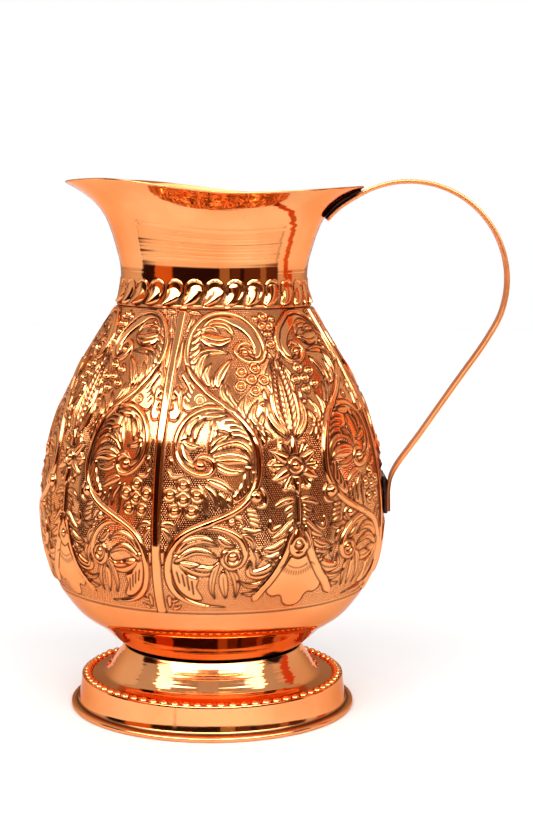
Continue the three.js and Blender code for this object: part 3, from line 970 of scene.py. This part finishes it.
def makeBowl():
    material = copperMaterial("embossedCopper", ripple=0.5)
    relief, height, hollow, ground = reliefField()
    print("relief drawn")
    for index, name in enumerate(panelNames):
        spots, ways = [], []
        for side, end in ((-1, "LeftHalf"), (1, "RightHalf")):
            spot, way = makePanel(name + end, index, side, relief, height, hollow, ground, material)
            spots.append(spot)
            ways.append(way)
        makeDots(name.replace("bowlPanel", "groundDots"), np.concatenate(spots), np.concatenate(ways))
        print("made", name, "with", sum(len(spot) for spot in spots), "dots")


def makeDots(name, spots, ways):
    # small blunt points punched into the ground from behind
    grow = Growing(name)
    given = grow.inputs({
        "Foot Radius": "NodeSocketFloat", "Height": "NodeSocketFloat", "Seed": "NodeSocketInt",
        "Smallest": "NodeSocketFloat", "Material": "NodeSocketMaterial"})
    dot = grow.add("GeometryNodeMeshCone", {"fill_type": "NONE"}, {
        "Vertices": 6, "Side Segments": 1, "Radius Top": 0.0, "Radius Bottom": given["Foot Radius"],
        "Depth": given["Height"]})
    spot = grow.add("GeometryNodeInputPosition")
    rise = grow.add("ShaderNodeSeparateXYZ", values={"Vector": spot}, output=2)
    # tarnish gathers at the foot of each dot
    atFoot = grow.add("ShaderNodeMath", {"operation": "LESS_THAN"}, {0: rise, 1: 0.00001})
    dot = grow.add("GeometryNodeStoreNamedAttribute", {"data_type": "FLOAT", "domain": "POINT"},
                   {"Geometry": dot, "Name": "hollow", "Value": atFoot})
    facing = grow.add("GeometryNodeInputNamedAttribute", {"data_type": "FLOAT_VECTOR"}, {"Name": "outward"})
    turned = grow.add("FunctionNodeAlignRotationToVector", {"axis": "Z"}, {"Vector": facing})
    size = grow.add("FunctionNodeRandomValue", {"data_type": "FLOAT"},
                    {2: given["Smallest"], 3: 1.0, "Seed": given["Seed"]}, output=1)
    placed = grow.add("GeometryNodeInstanceOnPoints", values={
        "Points": grow.start.outputs["Geometry"], "Instance": dot, "Rotation": turned, "Scale": size})
    grow.finish(placed, given["Material"])
    source = bpy.data.meshes.new(name + "Source")
    source.from_pydata(place(spots).tolist(), [], [])
    outward = source.attributes.new("outward", "FLOAT_VECTOR", "POINT")
    outward.data.foreach_set("vector", ways.astype(np.float32).ravel())
    material = bpy.data.materials.get("dotCopper") or copperMaterial("dotCopper", ripple=0)
    made = grow.grow(name, {**dots["inputs"], "Material": material}, source)
    keep(made, None)


def makeBowlBase():
    # the plain bowl below the relief, closed at the bottom
    top = bowl["reliefFrom"]
    line = meridian.line[meridian.height < top]
    line = np.vstack([line, [[meridian.radiusAt(meridian.upAt(top)), top]]])
    outer = spaced(line, bowl["baseLines"])
    normal = normals2d(outer)
    normal[0] = (0, -1)
    proud = bowl["proud"] * smooth(*bowl["proudFrom"], outer[:, 1])[:, None]
    inner = outer - sheet * normal
    inner[0, 0] = 0
    outline = np.vstack([outer + proud * normal, inner[::-1]])
    columns = bowl["baseColumns"]
    rings = spun(outline[1:-1], columns)
    rows = len(rings)
    faces = gridFaces(rows, columns, wrapColumns=True).tolist()
    points = np.concatenate([rings.reshape(-1, 3), [[0, 0, outline[0, 1]], [0, 0, outline[-1, 1]]]])
    low, high = rows * columns, rows * columns + 1
    last = (rows - 1) * columns
    faces += [[low, (i + 1) % columns, i] for i in range(columns)]
    faces += [[high, last + i, last + (i + 1) % columns] for i in range(columns)]
    made = makeMesh("bowlBase", points, faces, 40)
    keep(made, "bowl_shell", copperMaterial("plainBowlCopper", spinHeight=0.004, ripple=1.2))


makeBowl()
makeBowlBase()
print("bowl made")


# ---- the neck, with its border of slanting drops

neck = {
    "low": 169.1, "waistRadius": 38.8, "flareRadius": 40.2, "flareHeight": 191.0,
    "flare": [(44.4, 203.7), (48.6, 210), (54, 214.6), (61.6, 219)],
    "rimRadius": 61.6, "rimHeight": 219, "sideRadius": 53, "sideHeight": 215, "sideAngle": 75,
    "lipHalfAngle": 45, "lipSideRadius": 58, "lipSideHeight": 220, "backHeight": 217.6, "tilt": 1.2,
    "drops": 30, "columnsToDrop": 22, "borderTop": 180.4, "borderRows": 34, "upperRows": 82,
    "innerRows": 14, "spinDepth": 0.042, "spinSeed": 77,
    "bead": {"height": 0.5, "up": 0.45, "half": 0.35},         # the rounded edge at the seam
}
drop = {"line": [(0.5, 7.0), (0.2, 5.4), (-0.6, 3.7), (-1.9, 2.1), (-3.5, 0.6)], "head": 3.5, "height": 0.55,
        "rim": 0.4, "lean": 0.13, "seed": 29}


def rimAt(degrees):
    # the rim's radius and height, at an angle from the handle
    turn = abs((degrees + 180) % 360 - 180)
    lipStart = 180 - neck["lipHalfAngle"]
    back = 1 - smooth(0, neck["sideAngle"], turn)
    lip = smooth(neck["sideAngle"], lipStart, turn)
    tip = smooth(lipStart, 180, turn)
    radius = (neck["sideRadius"] + (neck["rimRadius"] - neck["sideRadius"]) * back
              + (neck["lipSideRadius"] - neck["sideRadius"]) * lip
              + (neck["rimRadius"] - neck["lipSideRadius"]) * tip)
    height = (neck["sideHeight"] + (neck["backHeight"] - neck["sideHeight"]) * back
              + (neck["lipSideHeight"] - neck["sideHeight"]) * lip
              + (neck["rimHeight"] - neck["lipSideHeight"]) * tip)
    return radius, height + neck["tilt"] * math.sin(math.radians(degrees))


def neckLine(degrees):
    radius, height = rimAt(degrees)
    outward = (radius - neck["flareRadius"]) / (neck["rimRadius"] - neck["flareRadius"])
    upward = (height - neck["flareHeight"]) / (neck["rimHeight"] - neck["flareHeight"])
    flare = [(neck["flareRadius"] + (r - neck["flareRadius"]) * outward,
              neck["flareHeight"] + (z - neck["flareHeight"]) * upward) for r, z in neck["flare"]]
    lower = [(40.2, neck["low"]), (neck["waistRadius"], 178.5), (neck["waistRadius"] + 0.1, 185),
             (neck["flareRadius"], neck["flareHeight"])]
    return splineLine(lower + flare, 12)


def dropField(along, up, pitch):
    # the drops round the neck, each with a raised rim and a lean of its own
    random = np.random.default_rng(drop["seed"])
    level = np.zeros((len(up), len(along)))
    line = splineLine(drop["line"], 8)
    whole = pitch * neck["drops"]
    for i in range(neck["drops"]):
        off = (along - i * pitch + whole / 2) % whole - whole / 2
        near = np.abs(off) < 1.2 * pitch
        x, y = off[near][None, :], up[:, None]
        best = np.full((len(up), near.sum()), 1e9)
        way = np.zeros(best.shape)
        for k, (spotX, spotY) in enumerate(line):
            width = drop["head"] * (1 - k / (len(line) - 1)) ** 0.65 + 0.12
            part = np.hypot(x - spotX, y - spotY) / width
            way = np.where(part < best, width, way)
            best = np.minimum(part, best)
        leanX, leanY = random.uniform(-1, 1, 2) * drop["lean"]
        dome = drop["height"] * (1 - (best / 0.9) ** 2) + leanX * x - (leanY + 0.15) * (y - 5.5)
        edge = drop["rim"] * np.exp(-((best - 0.94) * way / 0.24) ** 2)
        level[:, near] = np.where(best < 0.9, np.maximum(dome, edge), np.maximum(level[:, near], edge))
    return np.maximum(level, -0.1)


def makeNeck():
    columns = neck["drops"] * neck["columnsToDrop"]
    degrees = np.arange(columns) * 360 / columns
    borderHeights = np.linspace(neck["low"], neck["borderTop"], neck["borderRows"])
    upBorder = borderHeights - neck["low"]
    pitch = 2 * math.pi * neck["waistRadius"] / neck["drops"]
    along = np.arange(columns) / neck["columnsToDrop"] * pitch
    raised = dropField(along, borderHeights - neck["low"] - 0.7, pitch)
    raised *= smooth(0.1, 0.7, upBorder)[:, None]
    bead = neck["bead"]
    bead = bead["height"] * np.exp(-((upBorder - bead["up"]) / bead["half"]) ** 2)[:, None]
    raised = np.maximum(raised, bead)
    hollow = np.clip((blurred(raised, 3) - raised) / 0.35, 0, 1)
    # rings left by spinning, deepest just above the drops
    random = np.random.default_rng(neck["spinSeed"])
    spin = random.uniform(-1, 1, (neck["borderRows"] + neck["upperRows"], 1))
    strength = np.concatenate([np.zeros(neck["borderRows"]), np.linspace(1, 0, neck["upperRows"])])
    spin = spin * neck["spinDepth"] * (strength[:, None] > 0)
    spin = spin * (0.2 + 0.8 * smooth(0.25, 0.5, strength))[:, None]
    spin[-3:] = 0
    points = []
    for column, angle in enumerate(degrees):
        line = neckLine(angle)
        border = np.column_stack([np.interp(borderHeights, line[:, 1], line[:, 0]), borderHeights])
        upper = line[line[:, 1] > neck["borderTop"] + 0.2]
        upper = spaced(np.vstack([border[-1:], upper]), neck["upperRows"] + 1)[1:]
        outer = np.vstack([border, upper])
        normal = normals2d(outer)
        outer += spin * normal
        inner = spaced((outer - sheet * normal)[::-1], neck["innerRows"])
        outer[:len(border)] += raised[:, column, None] * normal[:len(border)]
        # the rim is rounded over
        tip, back = outer[-1], inner[0]
        middle, half = (tip + back) / 2, (tip - back) / 2
        across = np.array([-half[1], half[0]])
        roll = [middle + half * math.cos(turn) + across * math.sin(turn)
                for turn in np.radians([30, 60, 90, 120, 150])]
        points.append(np.vstack([outer, roll, inner]))
    outline = np.array(points).transpose(1, 0, 2)
    rings = turned(outline[..., 0], outline[..., 1], np.radians(degrees))
    # tarnish in the hollows, and in the seam between neck and bowl
    dark = np.zeros(rings.shape[:2])
    dark[:len(hollow)] = hollow
    dark[0] = 0.9
    made = ringSolid("neckShell", rings, 50, {"hollow": dark})
    keep(made, "neck_shell", copperMaterial("spunCopper", spinHeight=0.010, spinPitch=0.75))


makeNeck()
print("neck made")


# ---- the foot: pedestal, ledge with beads, and band

foot = {
    "pedestal": [(54.3, 13.3), (48.6, 13.3), (45.4, 14.2), (41.4, 19.4), (38.8, 23.4), (37.6, 25.9)],
    "channelRadius": 53.0, "channelDepth": 0.5, "channelHalf": 1.7, "ledge": 13.3,
    "bandTop": 55.5, "bandFoot": 56.8, "lipRadius": 60.1, "lipThick": 2.4, "columns": 240,
    "spinDepth": 0.03, "spinSeed": 78, "joint": 261.5,
    # the scorch below the seam: its middle in degrees and height, and its reach
    "scorch": (-42, 25.2), "scorchReach": (10, 1.9),
}
beads = {"Count": 72, "Ring Radius": 53.0 * mm, "Bead Radius": 1.95 * mm, "Bead Height": 1.6 * mm,
         "Ledge Height": 12.95 * mm, "Seed": 5, "Unevenness": 0.07}


def makePedestal():
    line = np.array(foot["pedestal"])
    cone = spaced(splineLine(line[1:], 10), 44)
    ledge = np.column_stack([np.linspace(line[0, 0], line[1, 0], 30)[:-1], np.full(29, foot["ledge"])])
    outer = np.vstack([ledge, cone])
    inner = outer - sheet * normals2d(outer)
    off = (outer[:, 0] - foot["channelRadius"]) / foot["channelHalf"]
    outer[:, 1] -= foot["channelDepth"] * np.exp(-off ** 4)
    hollow = np.concatenate([0.6 * np.exp(-off ** 4), np.zeros(len(inner[::3]))])
    hollow[len(outer) - 1] = 0.9
    # rings left by spinning the cone, and a scorch below the seam
    spin = np.random.default_rng(foot["spinSeed"]).uniform(-1, 1, len(cone)) * foot["spinDepth"]
    spin[[0, -1]] = 0
    outer[-len(cone):] += spin[:, None] * normals2d(outer)[-len(cone):]
    rings = spun(np.vstack([outer, inner[::-3]]), foot["columns"])
    turn = np.degrees(np.arctan2(rings[..., 1], rings[..., 0]))
    ragged = wander(80, turn / 30, rings[..., 2] / 6, 0.3)
    (atTurn, atHeight), (wide, tall) = foot["scorch"], foot["scorchReach"]
    scorch = np.exp(-((turn - atTurn) / wide) ** 2 - ((rings[..., 2] - atHeight) / tall) ** 2)
    scorch = smooth(0.35, 0.75, scorch + 0.15 * ragged)
    scorch[len(outer):] = 0
    dark = np.repeat(hollow, foot["columns"])
    made = ringSolid("footPedestal", rings, 40, {"hollow": dark, "sootAndShade": scorch})
    keep(made, "foot_pedestal", copperMaterial("spunFootCopper", spinHeight=0.010, spinPitch=0.7))


def makeBand():
    top, low, lip, thick = (foot[key] for key in ("bandTop", "bandFoot", "lipRadius", "lipThick"))
    centre = lip - thick / 2
    lipRound = [(centre + thick / 2 * math.cos(turn), thick / 2 * (1 + math.sin(turn)))
                for turn in np.radians(np.linspace(-90, 90, 17))]
    wall = splineLine([(low + 0.6, thick + 0.1), (low, thick + 1), (55.9, 9), (top, foot["ledge"] - 0.4)], 8)
    ledge = foot["ledge"]
    edge = [(top - 0.15, ledge - 0.1), (top - 0.45, ledge), (top - sheet, ledge - 0.1)]
    under = [(low - sheet, thick + 1), (low - sheet, 0)]
    outline = np.array([(low - sheet + 0.3, 0)] + lipRound + wall.tolist() + edge + under)
    groove = np.exp(-np.hypot(outline[:, 0] - low - 0.6, outline[:, 1] - thick - 0.1) ** 2)
    groove = np.repeat(groove[:, None], foot["columns"], axis=1)
    # the band's own butt joint
    onWall = (outline[:, 1] > thick + 1) & (outline[:, 1] < ledge - 0.5) & (outline[:, 0] > top - 0.6)
    groove[onWall, int(foot["joint"] / 360 * foot["columns"])] = 0.35
    made = ringSolid("footBand", spun(outline, foot["columns"]), 35, {"hollow": groove})
    keep(made, "foot_band", copperMaterial("bandCopper", spinHeight=0.003, ripple=1.2))


def makeBeads():
    grow = Growing("ledgeBeads")
    given = grow.inputs({
        "Count": "NodeSocketInt", "Ring Radius": "NodeSocketFloat", "Bead Radius": "NodeSocketFloat",
        "Bead Height": "NodeSocketFloat", "Ledge Height": "NodeSocketFloat", "Seed": "NodeSocketInt",
        "Unevenness": "NodeSocketFloat", "Centre": "NodeSocketVector", "Material": "NodeSocketMaterial"})
    ring = grow.add("GeometryNodeMeshCircle", values={
        "Vertices": given["Count"], "Radius": given["Ring Radius"]})
    bead = grow.add("GeometryNodeMeshUVSphere", values={
        "Segments": 12, "Rings": 8, "Radius": given["Bead Radius"]})
    bead = grow.add("GeometryNodeSetShadeSmooth", values={"Geometry": bead})
    flatten = grow.add("ShaderNodeMath", {"operation": "DIVIDE"},
                       {0: given["Bead Height"], 1: given["Bead Radius"]})
    spread = grow.add("ShaderNodeMath", {"operation": "SUBTRACT"}, {0: 1.0, 1: given["Unevenness"]})
    wider = grow.add("ShaderNodeMath", {"operation": "ADD"}, {0: 1.0, 1: given["Unevenness"]})
    size = grow.add("FunctionNodeRandomValue", {"data_type": "FLOAT"},
                    {2: spread, 3: wider, "Seed": given["Seed"]}, output=1)
    tall = grow.add("ShaderNodeMath", {"operation": "MULTIPLY"}, {0: size, 1: flatten})
    scale = grow.add("ShaderNodeCombineXYZ", values={"X": size, "Y": size, "Z": tall})
    placed = grow.add("GeometryNodeInstanceOnPoints", values={
        "Points": ring, "Instance": bead, "Scale": scale})
    lift = grow.add("ShaderNodeCombineXYZ", values={"Z": given["Ledge Height"]})
    spot = grow.add("ShaderNodeVectorMath", {"operation": "ADD"}, {0: lift, 1: given["Centre"]})
    placed = grow.add("GeometryNodeTransform", values={"Geometry": placed, "Translation": spot})
    grow.finish(placed, given["Material"])
    material = copperMaterial("beadCopper", ripple=0.3)
    made = grow.grow("ledgeBeads", {**beads, "Centre": axis.tolist(), "Material": material})
    keep(made, None)


makePedestal()
makeBand()
makeBeads()
print("foot made")


# ---- the strap handle and its two soldered joints

strap = {
    "width": 15, "thick": 1.5, "corner": 0.7, "loopCentre": (80.5, 180), "loopRadius": 40.4,
    "loopStart": 112, "loopEnd": -35, "tail": [(46.8, 204.6), (50, 208), (53.6, 210.9)],
    "tab": [(75.2, 100), (73.9, 94.5), (73.9, 84.2)], "stations": 190, "joined": 40,
    "endRound": 2.5, "endNarrow": 0.22,                        # the ends are filed round
    # where the dark ends: scorch on the tab, scorch and painted shade on the tail
    "tailSootAndShade": (15, 19), "tabSoot": (12, 24),
}
solder = {
    # along the neck's flare, and up the bowl
    "upper": {"from": 46.2, "to": 60.6, "width": 14.4, "overlap": 0.25, "seed": 31},
    "lower": {"from": 83.6, "to": 99.6, "width": 14.6, "overlap": 0.2, "seed": 47, "thins": (94, 100)},
    "stations": 26, "around": 28, "squareness": 0.45, "ragged": 0.035,
}


def strapPath():
    middleX, middleZ = strap["loopCentre"]
    turns = np.radians(np.linspace(strap["loopStart"], strap["loopEnd"], 10))
    loop = [(middleX + strap["loopRadius"] * math.cos(turn), middleZ + strap["loopRadius"] * math.sin(turn))
            for turn in turns]
    bottom, tabTop = np.array(loop[-1]), np.array(strap["tab"][0])
    straight = [tuple(bottom + (tabTop - bottom) * part) for part in (0.35, 0.7)]
    return spaced(splineLine(strap["tail"] + loop + straight + strap["tab"], 24), strap["stations"])


def makeStrap():
    path = strapPath()
    normal = normals2d(path)
    wide, thick = strap["width"] / 2, strap["thick"] / 2
    corners = [(wide, -thick), (wide, thick), (-wide, thick), (-wide, -thick)]
    section = roundedOutline(corners, strap["corner"], 4)
    run = np.arange(len(path)) / (len(path) - 1)
    length = np.linalg.norm(np.diff(path, axis=0), axis=1).sum()
    toEnd = np.clip(np.minimum(run, 1 - run) * length / strap["endRound"], 0, 1)
    narrow = 1 - strap["endNarrow"] * (1 - np.sqrt(np.clip(1 - (1 - toEnd) ** 2, 0, 1)))
    rings = []
    for spot, side, width in zip(path, normal, narrow):
        out = np.outer(section[:, 1], side)
        rings.append(np.column_stack([spot[0] + out[:, 0], section[:, 0] * width, spot[1] + out[:, 1]]))
    # scorched where it was soldered, with painted shade on the tail's jug side under the neck's flare: the
    # tail on its jug side only, the tab all round
    jugSide = (section[:, 1] < 0)[None, :]
    tail = (1 - smooth(*strap["tailSootAndShade"], run * length))[:, None] * jugSide
    tab = (1 - smooth(*strap["tabSoot"], (1 - run) * length))[:, None] * (0.3 + 0.7 * jugSide)
    made = cappedTube("handleStrap", rings, 60, {"sootAndShade": np.maximum(tail, 0.8 * tab)})
    keep(made, "handle_strap", copperMaterial("strapCopper", ripple=0.6, roughness=(0.36, 0.48)))


def solderFill(name, node, first, second, joint, material):
    # a fillet between two lines that face each other, a little ragged at its sides
    gap = np.linalg.norm(second - first, axis=1)
    across = (second - first) / gap[:, None]
    turns = np.linspace(0, 2 * np.pi, solder["around"], endpoint=False)
    squared = [np.sign(part) * np.abs(part) ** solder["squareness"]
               for part in (np.cos(turns), np.sin(turns))]
    rings = []
    for i, (spot, reach, way) in enumerate(zip((first + second) / 2, gap / 2 + joint["overlap"], across)):
        ragged = wander(joint["seed"], 3.0 * np.cos(turns), np.full(len(turns), i * 0.6), 2.6)
        side = squared[1] * joint["width"] / 2 * (1 + solder["ragged"] * ragged)
        thick = squared[0] * reach
        rings.append(np.column_stack([spot[0] + way[0] * thick, side, spot[1] + way[1] * thick]))
    made = cappedTube(name, rings)
    if signedVolume(made.data) < 0:
        made.data.flip_normals()
    keep(made, node, material)


def signedVolume(mesh):
    points = np.zeros(len(mesh.vertices) * 3)
    mesh.vertices.foreach_get("co", points)
    points = points.reshape(-1, 3)
    points = points - points.mean(axis=0)
    mesh.calc_loop_triangles()
    corners = np.zeros(len(mesh.loop_triangles) * 3, np.int32)
    mesh.loop_triangles.foreach_get("vertices", corners)
    first, second, third = (points[corners.reshape(-1, 3)[:, i]] for i in range(3))
    return float((first * np.cross(second, third)).sum() / 6)


def makeSolder():
    dark = solderMaterial("burntSolder")
    path, flare = strapPath(), neckLine(0)
    # between the neck's flare and the strap's tail
    joint = solder["upper"]
    reach = np.linspace(joint["from"], joint["to"], solder["stations"])
    tail = (path - normals2d(path) * strap["thick"] / 2)[:strap["joined"]]
    onTail, onNeck = (np.column_stack([reach, np.interp(reach, *line.T)]) for line in (tail, flare))
    solderFill("upperHandleSolder", "upper_handle_solder", onTail, onNeck, joint, dark)
    # between the bowl and the strap's tab, thinning out upwards
    joint = solder["lower"]
    heights = np.linspace(joint["from"], joint["to"], solder["stations"])
    wall = np.column_stack([np.interp(heights, meridian.height, meridian.radius), heights])
    end = path[-strap["joined"]:][::-1]
    inside = np.column_stack([np.interp(heights, end[:, 1], end[:, 0]) - strap["thick"] / 2, heights])
    left = 1 - smooth(*joint["thins"], heights)
    inside[:, 0] = wall[:, 0] + (inside[:, 0] - wall[:, 0]) * left + 0.25
    solderFill("lowerHandleSolder", "lower_handle_solder", wall, inside, joint, dark)
    for node in ("neck_seam_solder", "ledge_solder", "foot_seam_solder"):
        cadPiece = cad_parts[node]
        cadPiece.data.materials.clear()
        cadPiece.data.materials.append(dark)


makeStrap()
makeSolder()
print("handle and solder made")
